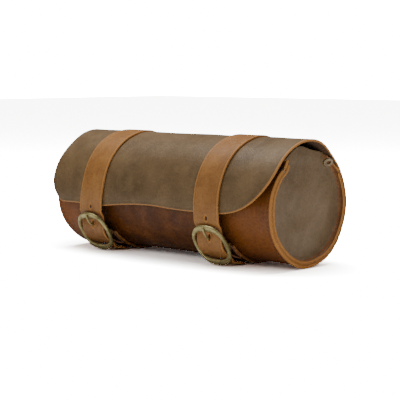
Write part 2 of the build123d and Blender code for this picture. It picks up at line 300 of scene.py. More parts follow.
def leather_sheet(
    name, outer, outward, edge, materials, thickness=HIDE, rounding=0.75, groove=None, keep=None,
    shown=None, patch=None, fade=None,
):
    """A leather sheet from its outer face: rounded raw edges, a flesh side, and walls between them.

    edge is each point's distance from the nearest raw edge. A border that lies on a raw edge gets a
    wall, and one that meets the next piece of the same hide stays open. groove is the place and depth
    of a creased line along the edges, and keep says which cells of the grid aren't cut away. shown is
    the edge distance that the material works with, patch marks cells with the third material, and fade
    says how far the first material has turned into the flap's at each point.
    """
    rows, columns = edge.shape
    inset = np.clip(edge / rounding, 0, 1)
    drop = rounding * (1 - np.sqrt(1 - (1 - inset) ** 2))
    place, depth = groove or (0.0, 0.0)
    press = depth * hump(edge, place, GROOVE_WIDTH)
    face = outer - outward * (drop + press)[..., None]
    back = outer - outward * (thickness - drop)[..., None]
    size = rows * columns
    grid = np.arange(size).reshape(rows, columns)
    quads = np.stack([grid[:-1, :-1], grid[:-1, 1:], grid[1:, 1:], grid[1:, :-1]], axis=-1)
    # The quad at a third of the way tells which way round they all face
    i, j = rows // 3, columns // 3
    facing = np.cross(outer[i, j + 1] - outer[i, j], outer[i + 1, j] - outer[i, j]) @ outward[i, j]
    if facing < 0:
        quads = quads[..., ::-1]
    quads = quads.reshape(-1, 4) if keep is None else quads[keep]
    # A wall stands on each side that only one quad has, where it lies on a raw edge
    ends = np.stack([quads, np.roll(quads, -1, axis=1)], axis=-1).reshape(-1, 2)
    lone = ~np.isin(ends[:, 0] * size + ends[:, 1], ends[:, 1] * size + ends[:, 0])
    raw = (edge.reshape(-1)[ends] < RAW_EDGE).all(axis=1)
    a, b = ends[lone & raw].T
    walls = np.stack([b, a, a + size, b + size], axis=-1)
    faces = np.concatenate([quads, quads[:, ::-1] + size, walls])
    at_edge = edge.reshape(-1)[quads].max(axis=1) < rounding + 0.1
    front_slots = np.zeros(len(quads), dtype=int) if patch is None else np.where(patch.reshape(-1), 2, 0)
    slots = np.concatenate([front_slots, np.where(at_edge, 0, 1), np.zeros(len(walls), dtype=int)])
    used, faces = np.unique(faces, return_inverse=True)
    vertices = np.concatenate([face.reshape(-1, 3), back.reshape(-1, 3)])[used]
    looks = {"edge": edge if shown is None else shown}
    if fade is not None:
        looks["fade"] = fade
    looks = {key: np.tile(values.reshape(-1), 2)[used] for key, values in looks.items()}
    return mesh_object(name, vertices, faces.reshape(-1, 4).tolist(), materials, slots, looks)


# ---------------------------------------------------------------- materials


# The mix node's sockets for colours
MIX_FACTOR, MIX_FIRST, MIX_SECOND, MIX_RESULT = 0, 6, 7, 2
# Where a mottled colour has its dark, middle and light parts on the noise
MOTTLE_PLACES = (0.30, 0.50, 0.72)


class Shader:
    """One procedural material. Its methods add nodes, and take and give the sockets to link."""

    def __init__(self, name):
        self.material = bpy.data.materials.new(name)
        self.material.use_nodes = True
        self.tree = self.material.node_tree
        self.tree.nodes.clear()
        self.surface = self.add("ShaderNodeBsdfPrincipled")
        self.add("ShaderNodeOutputMaterial", {"Surface": self.surface.outputs["BSDF"]})
        self.place = self.add("ShaderNodeTexCoord").outputs["Object"]

    def feed(self, socket, item):
        """Link a socket to an output, or set it to a number, a vector or a colour."""
        if isinstance(item, bpy.types.NodeSocket):
            self.tree.links.new(item, socket)
        else:
            socket.default_value = (*item, 1.0) if socket.type == "RGBA" else item

    def add(self, kind, inputs=None, **settings):
        node = self.tree.nodes.new(kind)
        for key, value in settings.items():
            setattr(node, key, value)
        for key, item in (inputs or {}).items():
            self.feed(node.inputs[key], item)
        return node

    def finished(self, inputs):
        """The material, once its surface has these inputs."""
        for key, item in inputs.items():
            self.feed(self.surface.inputs[key], item)
        return self.material

    def attribute(self, name):
        return self.add("ShaderNodeAttribute", attribute_name=name).outputs["Fac"]

    def stretched(self, scale):
        return self.add("ShaderNodeMapping", {"Vector": self.place, "Scale": scale}).outputs["Vector"]

    def noise(self, scale, detail, rough, place=None, distortion=0.0):
        inputs = {"Scale": scale, "Detail": detail, "Roughness": rough, "Distortion": distortion}
        inputs["Vector"] = self.place if place is None else place
        return self.add("ShaderNodeTexNoise", inputs).outputs["Fac"]

    def ramp(self, source, stops):
        """Colours, or greys given as plain numbers, at places on a source from 0 to 1."""
        node = self.add("ShaderNodeValToRGB", {"Fac": source})
        elements = node.color_ramp.elements
        while len(elements) < len(stops):
            elements.new(0.5)
        for element, (position, colour) in zip(elements, stops):
            element.position = position
            element.color = (*(colour if isinstance(colour, tuple) else (colour,) * 3), 1.0)
        return node.outputs["Color"]

    def mix(self, factor, first, second, mode="MIX"):
        inputs = {MIX_FACTOR: factor, MIX_FIRST: first, MIX_SECOND: second}
        return self.add("ShaderNodeMix", inputs, data_type="RGBA", blend_type=mode).outputs[MIX_RESULT]

    def faded(self, colour, other):
        """A colour that turns into the other one with the fade attribute, or just the colour."""
        return colour if other is None else self.mix(self.attribute("fade"), colour, other)

    def mottle(self, source, unshifted, colours, fading):
        """Mottled colours that turn into the fading ones with the fade attribute."""
        own = self.ramp(source, list(zip(MOTTLE_PLACES, colours)))
        return self.faded(own, fading and self.ramp(unshifted, list(zip(MOTTLE_PLACES, fading))))

    def range_map(self, source, low, high, to_low, to_high):
        inputs = {"Value": source, "From Min": low, "From Max": high, "To Min": to_low, "To Max": to_high}
        return self.add("ShaderNodeMapRange", inputs, interpolation_type="SMOOTHSTEP").outputs["Result"]

    def bump(self, *layers):
        """A normal from layers of bumps, each a (height, strength, distance)."""
        normal = None
        for height, strength, distance in layers:
            inputs = {"Height": height, "Strength": strength, "Distance": distance}
            if normal is not None:
                inputs["Normal"] = normal
            normal = self.add("ShaderNodeBump", inputs).outputs["Normal"]
        return normal


def shaded(colour, share):
    return tuple(c * share for c in colour)


def leather(
    name, dark, mid, light, edge_colour, gloss=(0.36, 0.56), crease=0.5, worn=0.35, ends=(0.0, 0.0),
    fading=None, shine=0.24,
):
    """Waxed leather: mottled colour, fine grain, light scratches, a creased line and a raw edge.

    gloss is the range of its roughness and shine its specular level. crease is the strength of the
    line along its edges, and worn that of its scratches. ends is how much the mottling is shifted to the
    dark or light side halfway along and at the rims; this is partly wear at the rims and partly painted
    light and shade, lighter ends and a darker middle. fading holds the three colours that the leather
    turns into where its fade attribute rises to 1.
    """
    s = Shader(name)
    cloud = s.noise(15.0, 5.0, 0.6, distortion=0.6)
    along = s.add("ShaderNodeSeparateXYZ", {"Vector": s.place}).outputs["X"]
    away = s.add("ShaderNodeMath", {0: along}, operation="ABSOLUTE").outputs["Value"]
    # Darker halfway along and lighter towards the rims: partly wear at the rims, partly painted light and
    # shade
    rim_wear_and_painted_light_shift = s.range_map(away, 0.03, 0.145, *ends)
    shifted = s.add("ShaderNodeMath", {0: cloud, 1: rim_wear_and_painted_light_shift}, operation="ADD").outputs["Value"]
    colour = s.mottle(shifted, cloud, (dark, mid, light), fading)
    pale = s.faded(light, fading and fading[2])
    patches = s.noise(55.0, 6.0, 0.65, distortion=0.4)
    colour = s.mix(s.ramp(patches, [(0.42, 0.0), (0.70, 0.6)]), colour, pale)
    specks = s.noise(420.0, 3.0, 0.7)
    speck_mask = s.ramp(specks, [(0.50, 0.0), (0.75, 0.55)])
    colour = s.mix(speck_mask, colour, s.faded(dark, fading and fading[0]))
    streaks = s.noise(26.0, 4.0, 0.8, s.stretched((1.0, 9.0, 2.5)), distortion=1.4)
    scratch = s.ramp(streaks, [(0.485, 0.0), (0.50, worn), (0.515, 0.0)])
    colour = s.mix(scratch, colour, pale)

    # The creased line, the rubbed border and the raw fibres, by the distance from the edge in mm
    edge = s.attribute("edge")
    groove = s.ramp(s.range_map(edge, 0.0, 5.0, 0.0, 1.0), [(0.40, 0.0), (0.49, crease), (0.58, 0.0)])
    colour = s.mix(groove, colour, dark)
    colour = s.mix(s.range_map(edge, 0.2, 1.8, 0.85, 0.0), colour, edge_colour)
    raw = s.range_map(edge, 0.15, 0.5, 1.0, 0.0)
    fibres = s.ramp(s.noise(900.0, 4.0, 0.8), [(0.3, shaded(edge_colour, 0.72)), (0.7, edge_colour)])
    colour = s.mix(raw, colour, fibres)

    polish = s.range_map(s.noise(38.0, 5.0, 0.6, distortion=0.3), 0.3, 0.7, *gloss)
    grain = s.add("ShaderNodeTexVoronoi", {"Vector": s.place, "Scale": 950.0}, feature="DISTANCE_TO_EDGE")
    normal = s.bump(
        (grain.outputs["Distance"], 0.22, 0.0004), (specks, 0.18, 0.0006), (patches, 0.22, 0.0022),
        (groove, -0.5, 0.0006), (scratch, -0.25, 0.0003),
    )
    return s.finished({
        "Base Color": colour, "Roughness": s.mix(raw, polish, (0.75, 0.75, 0.75)), "Normal": normal,
        "Specular IOR Level": shine,
    })


def flesh(name, colour):
    """The suede-like inner side of the leather."""
    s = Shader(name)
    nap = s.noise(500.0, 5.0, 0.75)
    tint = s.ramp(nap, [(0.3, shaded(colour, 0.7)), (0.7, colour)])
    shade = s.ramp(s.noise(20.0, 4.0, 0.6), [(0.3, 0.0), (0.7, 0.35)])
    tint = s.mix(shade, tint, shaded(colour, 0.6))
    return s.finished({"Base Color": tint, "Roughness": 0.9, "Normal": s.bump((nap, 0.5, 0.0006))})


def antique_brass(name, dark, mid, light):
    """Cast brass with a greenish patina, rubbed bright in places."""
    s = Shader(name)
    cloud = s.noise(90.0, 4.0, 0.6, distortion=0.5)
    return s.finished({
        "Base Color": s.ramp(cloud, [(0.28, dark), (0.50, mid), (0.74, light)]),
        "Metallic": 0.75,
        "Roughness": s.range_map(cloud, 0.3, 0.7, 0.42, 0.28),
        "Normal": s.bump((s.noise(900.0, 4.0, 0.7), 0.25, 0.0004), (cloud, 0.2, 0.0012)),
    })


def waxed_thread(name, colour):
    """Twisted, waxed thread."""
    s = Shader(name)
    inputs = {"Vector": s.place, "Scale": 900.0, "Distortion": 1.5}
    twist = s.add("ShaderNodeTexWave", inputs, wave_type="BANDS", bands_direction="DIAGONAL").outputs["Fac"]
    tint = s.ramp(twist, [(0.2, shaded(colour, 0.55)), (0.8, colour)])
    return s.finished({"Base Color": tint, "Roughness": 0.55, "Normal": s.bump((twist, 0.5, 0.0003))})


def studio_floor(name):
    """A pale floor that looks almost white to the camera, and gives the object its plain bounce light.

    Its colour is raised by FLOOR_GAIN, near the object and further off, where the camera sees it.
    """
    s = Shader(name)
    tint = s.ramp(s.noise(3.0, 2.0, 0.5), [(0.3, (0.93, 0.93, 0.92)), (0.7, (0.95, 0.95, 0.94))])
    oval = s.stretched((0.42, 1.0, 0.0))
    reach = s.add("ShaderNodeVectorMath", {0: oval}, operation="LENGTH").outputs["Value"]
    bright = s.mix(1.0, tint, s.range_map(reach, 0.05, 0.17, *FLOOR_GAIN), "MULTIPLY")
    seen = s.add("ShaderNodeLightPath").outputs["Is Camera Ray"]
    return s.finished({
        "Base Color": s.mix(seen, tint, bright), "Roughness": 1.0, "Specular IOR Level": 0.0,
    })


FLOOR_GAIN = (6.5, 60.0)

# The materials, with their colours from dark to light
TAN_EDGE = (0.56, 0.245, 0.065)
FLAP_COLOURS = ((0.102, 0.060, 0.025), (0.143, 0.086, 0.037), (0.215, 0.134, 0.061))
flap_leather = leather("flap_leather", *FLAP_COLOURS, TAN_EDGE, gloss=(0.36, 0.52))
# The body's leather is darker halfway along and lighter at the rims, partly wear and partly painted light and
# shade
body_leather = leather(
    "body_leather", (0.066, 0.019, 0.003), (0.104, 0.032, 0.005), (0.225, 0.072, 0.013), TAN_EDGE,
    gloss=(0.32, 0.50), crease=0.2, ends=(-0.08, 0.19), fading=FLAP_COLOURS, shine=0.18,
)
disc_leather = leather(
    "disc_leather", (0.150, 0.092, 0.044), (0.192, 0.122, 0.061), (0.255, 0.170, 0.092), TAN_EDGE,
    gloss=(0.30, 0.46), crease=0.0, worn=0.6,
)
strap_leather = leather(
    "strap_leather", (0.200, 0.080, 0.019), (0.302, 0.130, 0.033), (0.410, 0.194, 0.056), TAN_EDGE,
    gloss=(0.36, 0.52), crease=0.45, worn=0.2,
)
flange_leather = leather(
    "flange_leather", (0.140, 0.050, 0.018), (0.265, 0.110, 0.038), (0.370, 0.178, 0.066), TAN_EDGE,
    gloss=(0.34, 0.50), crease=0.0, worn=0.5,
)
loop_leather = leather(
    "loop_leather", (0.050, 0.018, 0.008), (0.095, 0.036, 0.014), (0.160, 0.068, 0.028), (0.42, 0.20, 0.11),
    gloss=(0.34, 0.50), crease=0.0, worn=0.3,
)
flesh_brown = flesh("flesh_brown", (0.13, 0.066, 0.032))
flesh_strap = flesh("flesh_strap", (0.17, 0.075, 0.033))
brass = antique_brass("antique_brass", (0.18, 0.145, 0.06), (0.38, 0.32, 0.135), (0.58, 0.50, 0.24))
# Darker brass for the rivets and eyelets: partly their own aged metal, partly painted shade that stands in
# for the shade of the gaps and recesses the eyelets sit in
dark_brass_painted_shade = antique_brass("dark_brass_painted_shade", (0.05, 0.036, 0.022), (0.19, 0.135, 0.08), (0.42, 0.32, 0.2))
thread = waxed_thread("waxed_thread", (0.13, 0.045, 0.02))


# ---------------------------------------------------------------- the hide


def wrap_radius(x, angle=180.0):
    """The barrel's outer radius: it flares at the rims, which are pinched in below the mouth's front."""
    flare = np.clip((np.abs(x) - (RIM_X - FLARE)) / FLARE, 0, 1) ** 1.5
    pinch = sum(depth * hump(angle, centre, spread) for depth, centre, spread in PINCHES)
    ripple = RIPPLE * np.sin(np.radians(angle * RIPPLES_ROUND)) * fall(angle, RIPPLE_END, 14)
    near_rim = rise(np.abs(x), RIM_X - 30, 22)
    return WRAP_RADIUS + (RIM_RADIUS - WRAP_RADIUS) * flare + (ripple - pinch) * near_rim


def back_rise(angle):
    """How far the hide has risen from the barrel to the flap's radius, from 0 low on the back to 1."""
    return rise(angle, RISE_START, RISE_LENGTH)


def hide_radius(x, angle):
    """The outer radius of the barrel and of the flap's fold above it, for angles up to the fold."""
    low = wrap_radius(x)
    return low + (FLAP_RADIUS - low) * back_rise(angle)


def mouth_front(x):
    """The angle of the wrap's front edge at the mouth: set back, with a pointed tip at each rim."""
    return MOUTH_FRONT + MOUTH_SET_BACK * (1 - rise(np.abs(x), RIM_X - 7, 6))


def flap_lip(x):
    """The angle of the flap's lower edge: wavy, with a tight left corner and a long right one."""
    # Degrees of arch between the straps, of sag at the left one, and of rise towards the right one
    wave = 3.8 * arch(x + 8, 78) - 0.9 * hump(x, -78, 18) + 2.6 * rise(x, 15, 60)
    lip = np.zeros_like(x)
    for side, here in (("left", x < 0), ("right", x >= 0)):
        start, top, power = CORNERS[side].values()
        into_corner = np.clip((np.abs(x) - start) / (FLAP_X - start), 0, 1)
        drop = (1 - into_corner**power) ** (1 / power)
        lip = np.where(here, top + (LIP_ANGLE - wave - top) * drop, lip)
    return lip


def flap_radius(x, angle):
    """The flap's outer radius: it leaves the barrel at the fold and lies over the rims and mouth.

    It is let down at its left shoulder, between the straps and at the lip.
    """
    shoulder = rise(-x, 118, 32) * hump(angle, 36, 20)
    slack = arch(x, 70) * hump(angle, 60, 40)
    lip = rise(angle, 78, 20) * fall(np.abs(x), 90, 60)
    return hide_radius(x, angle) - 2.3 * shoulder - 0.5 * slack - 0.9 * lip


def lean(side, angle):
    """Where the middle of an upper strap is along the case: the left one leans outwards."""
    top, foot = STRAP[side]["top"], STRAP[side]["buckle"]
    return top + (foot - top) * rise(np.asarray(angle), LEAN_START, LEAN_LENGTH)


def strap_proud(angle):
    """How far a strap stands out of the flap: it has pressed itself in at the top."""
    return PRESSED_IN + PRESSED_LESS * rise(np.asarray(angle), 10, 35)


def flap_half_length(angle):
    """The hide is as long as the barrel up to the fold and a little longer over the mouth."""
    return RIM_X + (FLAP_X - RIM_X) * rise(angle, SPLIT, 30)


def make_wrap():
    """The barrel: from the mouth's front edge, under the case and up the back to the fold."""
    x = graded(2 * RIM_X, 5.0) - RIM_X
    back_edge = 360 + SPLIT
    length = math.radians(back_edge - MOUTH_FRONT) * WRAP_RADIUS
    down = graded(length, 3.0, (True, False)) / length
    start = mouth_front(x)[None, :]
    angle = start + (back_edge - start) * down[:, None]
    x = np.broadcast_to(x[None, :], angle.shape)
    risen = (FLAP_RADIUS - wrap_radius(x)) * back_rise(angle - 360)
    points = polar(x, wrap_radius(x, angle) + risen, angle)
    outward = unit(polar(x, 1.0, angle) - polar(x, 0.0, angle))
    dent = dents(points, (34.0, 3.1, 0.55), (12.0, 8.4, 0.12))
    swell = (dent - 0.3) * fall(np.abs(x), RIM_X, 12) * fall(angle, back_edge, 14)
    points = points + outward * swell[..., None]
    edge = np.minimum(RIM_X - np.abs(x), np.radians(angle - start) * WRAP_RADIUS)
    return leather_sheet(
        "hide_wrap", points, grid_normals(points, outward), edge, [body_leather, flesh_brown],
        thickness=WRAP_THICKNESS, rounding=0.5, fade=rise(angle, 255, 55),
    )


def make_flap():
    """The flap and its fold: one hide from the barrel's back, over the mouth, to the lower edge."""
    ends, sides = {}, {}
    turn = np.radians(np.linspace(0, 90, 34))
    for side, corner in CORNERS.items():
        start, top, power = corner.values()
        ends[side] = start + (FLAP_X - start) * np.sin(turn) ** (2 / power)
        side_angle = np.linspace(SPLIT, top, 24)
        sides[side] = np.stack([flap_half_length(side_angle), FLAP_RADIUS * np.radians(side_angle)], axis=1)
    middle = np.arange(3 - CORNERS["left"]["x"], CORNERS["right"]["x"] - 2, 3.0)
    x_lip = np.concatenate([-ends["left"][::-1], middle, ends["right"]])
    lip = flap_lip(x_lip)
    length = math.radians(LIP_ANGLE - SPLIT) * FLAP_RADIUS
    down = graded(length, 2.2, (False, True)) / length
    angle = SPLIT + (lip[None, :] - SPLIT) * down[:, None]
    x = x_lip[None, :] * flap_half_length(angle) / FLAP_X
    points = polar(x, flap_radius(x, angle), angle)
    outward = unit(polar(x, 1.0, angle) - polar(x, 0.0, angle))

    # Dented where it is free, and pressed in under the straps
    under = np.zeros_like(x)
    for side in STRAP:
        under = np.maximum(under, fall(np.abs(x - lean(side, angle)), STRAP_WIDTH / 2 + 2.5, 3.5))
    under = under * rise(angle, -30, 12)
    dent = dents(points, (42.0, 5.3, 0.5), (15.0, 1.9, 0.1)) * (1 - 0.8 * under) - 0.35
    swell = dent * rise(angle, -30, 30) - (NOT_PRESSED - strap_proud(angle)) * under
    points = points + outward * swell[..., None]

    lower = np.stack([x_lip, FLAP_RADIUS * np.radians(lip)], axis=1)
    outline = np.concatenate([sides["left"] * (-1, 1), lower, sides["right"][::-1]])
    edge = outline_distance(np.stack([x, FLAP_RADIUS * np.radians(angle)], axis=-1), outline)
    edge[-1, :] = edge[:, 0] = edge[:, -1] = 0
    return leather_sheet(
        "hide_flap", points, grid_normals(points, outward), edge, [flap_leather, flesh_brown],
        thickness=FLAP_THICKNESS, groove=(3.6, 0.22),
    )


wrap = make_wrap()
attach(wrap, "root")
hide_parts("body_wrap")

flap = make_flap()
fold_start = polar(0.0, RIM_RADIUS, FOLD_START) * MM
fold_end = polar(0.0, FLAP_RADIUS, FOLD_END) * MM
fold_end[2] = fold_start[2]
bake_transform(flap)
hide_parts("flap_panel")


# ---------------------------------------------------------------- the end discs


def plate_end(angle):
    """The radius of the disc's free edge under the flap: a low crest, and a rise to the back."""
    return 55.0 + 4.1 * hump(angle, 9, 13) + 3.0 * rise(-angle, 9, 24)


# Shares of the way from the flat of the plate to the flange's edge, close together at both ends
DISC_SHARES = np.array(
    [0, 0.06, 0.12, 0.18, 0.25, 0.32, 0.4, 0.48, 0.56, 0.64, 0.72, 0.79, 0.85, 0.9, 0.94, 0.97, 0.985, 1.0]
)
PLATE_POINTS = 17


def disc_section(around):
    """The disc's profile at each angle: radii, distances out from the plate, and how much it is flange.

    Between the two ends of the seam there is no flange, and the plate just ends under the flap.
    """
    seam = 360 + SEAM_BACK - MOUTH_FRONT
    from_front = (around - MOUTH_FRONT) % 360
    from_back = (seam - from_front) % 360
    flanged = np.minimum(rise(from_front, -2.5, 4), rise(from_back, -0.5, 3.5)) * (from_front < seam)
    steepening = (FLANGE_BEND - FLANGE_BEND_AT_END) * rise(from_back, 9, 16)
    bend = np.radians(FLANGE_BEND_AT_END + steepening) * flanged
    full_bend = math.radians(FLANGE_BEND)
    flange = (RIM_X - PLATE_X - BEND_RADIUS) / math.sin(full_bend) + FLANGE_PAST
    curl = 0.8 * (BEND_RADIUS * full_bend)
    free = curl + flange * flanged + (plate_end(signed(around)) - PLATE_FLAT_RADIUS - curl) * (1 - flanged)
    run = free[:, None] * DISC_SHARES
    arc = np.minimum(run / BEND_RADIUS, 1e-6 + bend[:, None])
    straight = np.maximum(run - arc * BEND_RADIUS, 0)
    radius = PLATE_FLAT_RADIUS + BEND_RADIUS * np.sin(arc) + straight * np.cos(bend)[:, None]
    out = BEND_RADIUS * (1 - np.cos(arc)) + straight * np.sin(bend)[:, None]
    flat = np.broadcast_to(np.linspace(0.0, PLATE_FLAT_RADIUS, PLATE_POINTS), (len(around), PLATE_POINTS))
    return np.hstack([flat, radius]), np.hstack([np.zeros_like(flat), out]), flanged, from_back


def make_disc(side, direction):
    """An end disc: a plate set back in the end, whose rim turns out into the flange sewn to the wrap."""
    around = np.linspace(0, 360, DISC_STEPS + 1)[:-1] + MOUTH_FRONT
    radius, out, flanged, from_back = disc_section(around)
    angle = np.repeat(around[:, None], radius.shape[1], axis=1)
    turned = signed(angle)
    at_back = (turned < 20) & (turned > -90)
    risen = (FLAP_RADIUS - WRAP_RADIUS) * back_rise(np.where(at_back, turned, -90.0))

    # Kept inside the wrap, and against it where it is sewn
    sewn = rise(from_back, 10, 15)[:, None]
    added = (FLANGE - PLATE) * sewn * rise(out, 0.8, 3)
    plate_limit = np.where(turned < 10, wrap_radius(PLATE_X, angle) + risen - HIDE - 0.3, RIM_RADIUS)
    flange_limit = wrap_radius(PLATE_X + out, angle) + risen - WRAP_THICKNESS - PLATE - added
    radius = np.minimum(radius, plate_limit + (flange_limit - plate_limit) * smooth(out / 1.5))
    radius = radius + (flange_limit - radius) * flanged[:, None] * sewn * rise(out, 1.2, 2)

    points = polar(direction * (PLATE_X + out), radius, angle)
    hollow = dents(points, (30.0, 2.2 + direction, 0.9), (11.0, 6.1, 0.25))
    points[..., 0] += direction * (hollow - 0.8) * fall(radius, 50, 10)

    # The grid's last row is its first again, and one more row at each end makes the normals meet there
    ring = np.concatenate([points[-1:], points, points[:2]], axis=0)
    towards = np.zeros_like(ring)
    towards[..., 0] = direction
    outward = grid_normals(ring, towards)[1:-1]
    points = ring[1:-1]
    outward[:, 0] = towards[0, 0]
    closed = np.append(np.arange(DISC_STEPS), 0)
    length = np.cumsum(np.linalg.norm(np.diff(points, axis=1, prepend=points[:, :1]), axis=-1), axis=1)
    edge = length[:, -1:] - length
    return leather_sheet(
        f"disc_{side}", points, outward, edge, [disc_leather, flesh_brown, flange_leather],
        thickness=PLATE + added[closed], rounding=0.5, shown=edge + 3.0 * (1 - flanged[closed, None]),
        patch=out[:, :-1] > 1.6,
    )


for side, direction in (("left", -1), ("right", 1)):
    disc = make_disc(side, direction)
    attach(disc, "root")
    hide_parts(f"end_disc_{side}")


# ---------------------------------------------------------------- the straps


def buckle_place(along, out):
    """A side-view point, (y, up) from the axis: along the strap from the bar, and out of the frame."""
    turn = math.radians(BUCKLE_ANGLE)
    y = BUCKLE_Y - along * math.cos(turn) - out * math.sin(turn)
    up = BUCKLE_RISE - along * math.sin(turn) + out * math.cos(turn)
    return y, up


def round_place(radius, angle):
    """A side-view point, (y, up) from the axis, from a radius and an angle."""
    turn = math.radians(angle)
    return -radius * math.sin(turn), radius * math.cos(turn)


def smooth_curve(points, step=0.25):
    """A smooth curve through the points, sampled at nearly equal steps, and the length to each."""
    points = np.asarray(points, dtype=float)
    ends = np.vstack([2 * points[0] - points[1], points, 2 * points[-1] - points[-2]])
    runs = []
    t = np.linspace(0, 1, 41)[:-1, None]
    for k in range(1, len(ends) - 2):
        before, first, last, after = ends[k - 1 : k + 3]
        square = 2 * before - 5 * first + 4 * last - after
        cube = 3 * first - before - 3 * last + after
        runs.append(first + 0.5 * ((last - before) * t + (square * t**2 + cube * t**3)))
    line = np.concatenate(runs + [points[-1:]])
    length = np.concatenate([[0], np.cumsum(np.linalg.norm(np.diff(line, axis=0), axis=1))])
    places = np.linspace(0, length[-1], int(length[-1] / step) + 1)
    return np.stack([np.interp(places, length, line[:, i]) for i in range(line.shape[1])], axis=1), places


class Ribbon:
    """A strip of leather along a curve: its outer face, and its frame at any place on it."""

    def __init__(self, places, outward_from):
        self.points, self.length = smooth_curve(places)
        self.total = float(self.length[-1])
        ahead = np.gradient(self.points, axis=0)
        side = unit(np.stack([np.zeros(len(ahead)), -ahead[:, 2], ahead[:, 1]], axis=1))
        away = self.points - np.array([0, *outward_from])
        away[:, 0] = 0
        self.outward = side * np.sign((side * away).sum(1).sum())
        across = unit(np.cross(self.outward, unit(ahead)))
        self.across = across * np.sign(across[:, :1])
        self.angle = np.degrees(np.unwrap(np.arctan2(-self.points[:, 1], self.points[:, 2])))

    def at(self, values, place):
        return np.stack([np.interp(place, self.length, values[:, i]) for i in range(3)], axis=-1)

    def face(self, place, sideways):
        """World points in mm and outward normals at places along and across the strip."""
        points = self.at(self.points, place) + self.at(self.across, place) * sideways[..., None]
        return points + np.array([0, AXIS_Y, AXIS_Z]), unit(self.at(self.outward, place))

    def place_at_angle(self, angle):
        """The place where the strip passes an angle round the barrel."""
        return float(np.interp(-angle, -self.angle, self.length))

    def place_on_buckle(self, wanted):
        """The place, on the front of the case, that is a distance along the buckle from its bar."""
        turn = math.radians(BUCKLE_ANGLE)
        y, up = self.points[:, 1] - BUCKLE_Y, self.points[:, 2] - BUCKLE_RISE
        along = -y * math.cos(turn) - up * math.sin(turn)
        front = self.angle > 90
        return float(np.interp(-wanted, -along[front], self.length[front]))


# Places of the grid's lines at a hole, in half lengths or widths from its middle
HOLE_MARKS = np.array([-2.3, -1.6, -1, -0.5, 0, 0.5, 1, 1.6, 2.3])


def cut_holes(place, sideways, holes):
    """Round the grid off at each hole: new places, the cells to keep, and the distance to a hole."""
    keep = np.ones((place.shape[0] - 1, place.shape[1] - 1), dtype=bool)
    gap = np.full(place.shape, 99.0)
    for centre, length, width in holes:
        u, v = (place - centre) / (length / 2), sideways / (width / 2)
        ring = np.maximum(np.abs(u), np.abs(v))
        reach = np.maximum(np.hypot(u, v), 1e-6)
        round_off = 1 - smooth((ring - 1) / 1.3)
        scale = 1 + (ring / reach - 1) * round_off
        place = centre + u * scale * length / 2
        sideways = v * scale * width / 2
        inside = ring <= 1.001
        keep &= ~(inside[:-1, :-1] & inside[1:, :-1] & inside[:-1, 1:] & inside[1:, 1:])
        gap = np.minimum(gap, np.maximum(ring * scale * reach / np.maximum(ring, 1e-6) - 1, 0) * width / 2)
    return place, sideways, keep, gap


def strip_rows(first, last, step, ends, holes=(), folds=()):
    """Places of the rows of a strip: fine at raw ends, and right for the holes and wrinkles."""
    rows = first + graded(last - first, step, ends)
    for centre, length, _ in holes:
        own = centre + HOLE_MARKS * length / 2
        rows = np.concatenate([rows[(rows < own[0] - 0.3) | (rows > own[-1] + 0.3)], own])
    for centre in folds:
        own = np.arange(centre - 2.5, centre + 2.5, 0.45)
        rows = np.concatenate([rows[np.abs(rows - centre) > 2.5], own])
    return np.sort(rows)


def strip_columns(width, hole_width):
    """Places across a strip, fine at its two edges and right for holes in its middle."""
    columns = graded(width, 2.4) - width / 2
    own = HOLE_MARKS * hole_width / 2
    return np.sort(np.concatenate([columns[np.abs(columns) > own[-1] + 0.3], own]))


# The belt's tail behind the buckle, as (radius, angle), and its way through the buckle, as distances
# along it and out of it from the bar
BELT_TAIL = ((63.7, 161.0), (65.4, 156.0), (68.2, 147.0))
BELT_IN_BUCKLE = (
    (23.5, -4.6), (17.5, -3.2), (12.0, -0.6), (6.0, 2.1), (0.0, 2.9), (-6.0, 1.4), (-12.0, -1.9),
    (-17.5, -3.5), (-23.5, -3.3),
)


def belt_curve(side):
    """The outer face of the whole belt, from its tail, over the top, to its end behind the buckle."""
    places = [(lean(side, angle), *round_place(radius, angle)) for radius, angle in BELT_TAIL]
    for y, up in (buckle_place(*place) for place in BELT_IN_BUCKLE):
        places.append((lean(side, math.degrees(math.atan2(-y, up))), y, up))
    for angle in np.arange(98.0, -42.0, -5.0):
        x = lean(side, angle)
        radius = float(flap_radius(x, angle) + strap_proud(angle))
        places.append((x, *round_place(max(radius, LOWER_OUTER), angle)))
    for angle in np.arange(-48.0, -229.0, -6.0):
        skived = 0.9 * float(rise(-angle, 194, 20))
        lifted = max(LOWER_OUTER, float(hide_radius(0.0, angle)) + STRAP_THICKNESS)
        y, up = round_place(lifted - skived, angle)
        share = np.clip((y + AXIS_Y + 45) / 90, 0, 1)
        x = STRAP[side]["buckle"] + (STRAP[side]["top"] - STRAP[side]["buckle"]) * share
        places.append((x, y, max(up, 0.03 - AXIS_Z)))
    return Ribbon(places, (0.0, 0.0))


